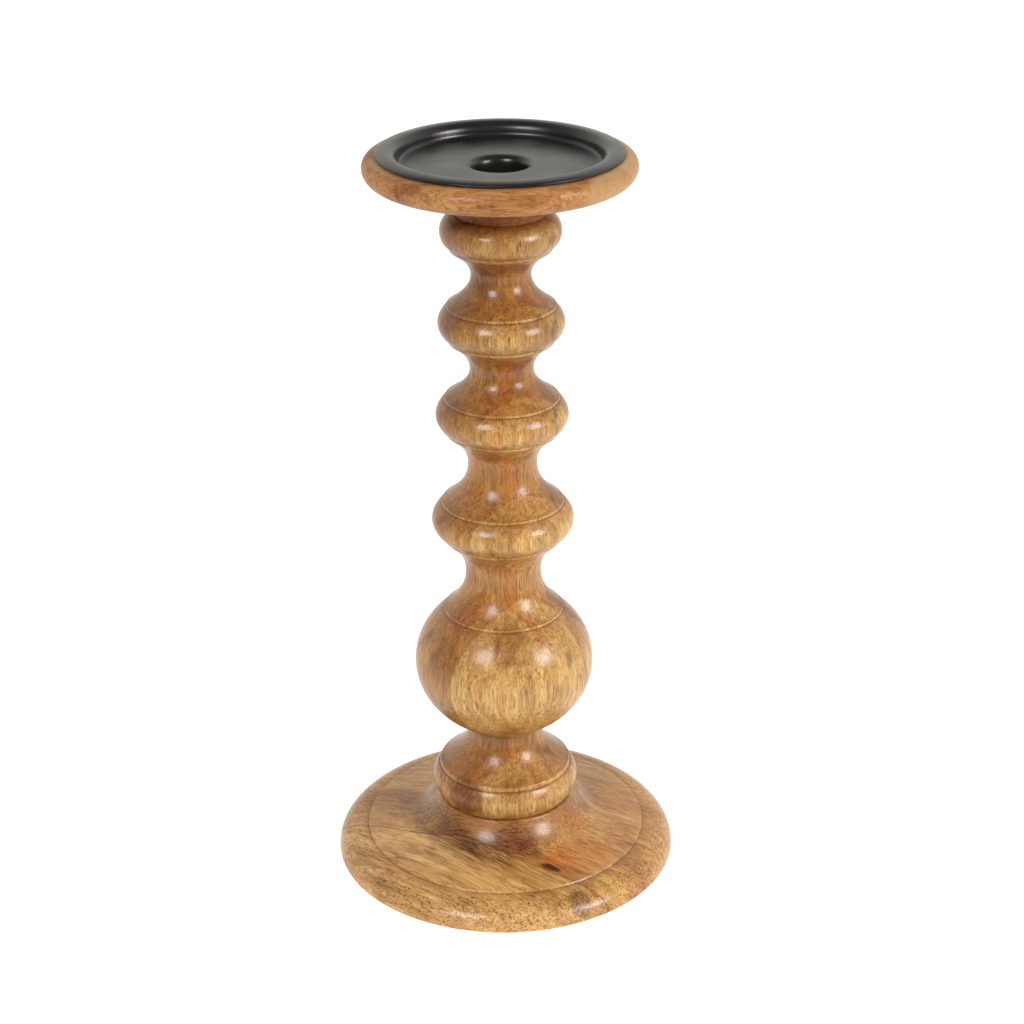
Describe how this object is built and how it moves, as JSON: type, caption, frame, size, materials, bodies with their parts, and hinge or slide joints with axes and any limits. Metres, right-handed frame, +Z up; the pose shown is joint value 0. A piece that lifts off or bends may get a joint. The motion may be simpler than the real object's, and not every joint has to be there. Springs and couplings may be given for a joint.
{
  "type": "candlestick",
  "caption": "Tall turned wooden candlestick on a round base, with a disc top that holds a loose black steel pan for a pillar candle, with a central cup for a slim candle.",
  "frame": {"origin": "centre of the footprint, on the surface that the candlestick stands on", "axes": "+Z up along the turning axis; the front is at -Y, and the board glued on at the front lies on that side"},
  "size_m": [0.1498, 0.1498, 0.3219],
  "materials": {
    "base_wood": "satin lacquer",
    "stem_wood": "satin lacquer",
    "plate_wood": "satin lacquer",
    "black_steel": "satin black powder coat",
    "zinc_steel": "zinc plated",
    "felt": "pressed felt"
  },
  "bodies": {
    "holder": {"base_board_front": "base_wood", "base_board_back": "base_wood", "felt_pad_1": "felt", "felt_pad_2": "felt", "felt_pad_3": "felt", "felt_pad_4": "felt", "stem": "stem_wood", "top_plate": "plate_wood", "plate_screw": "zinc_steel", "base_screw": "zinc_steel"},
    "pan": {"candle_pan": "black_steel"}
  },
  "joints": [
    {"name": "pan_lift", "type": "slide", "parent": "holder", "child": "pan", "axis": [0, 0, 1], "range_m": [0, 0.03]}
  ]
}
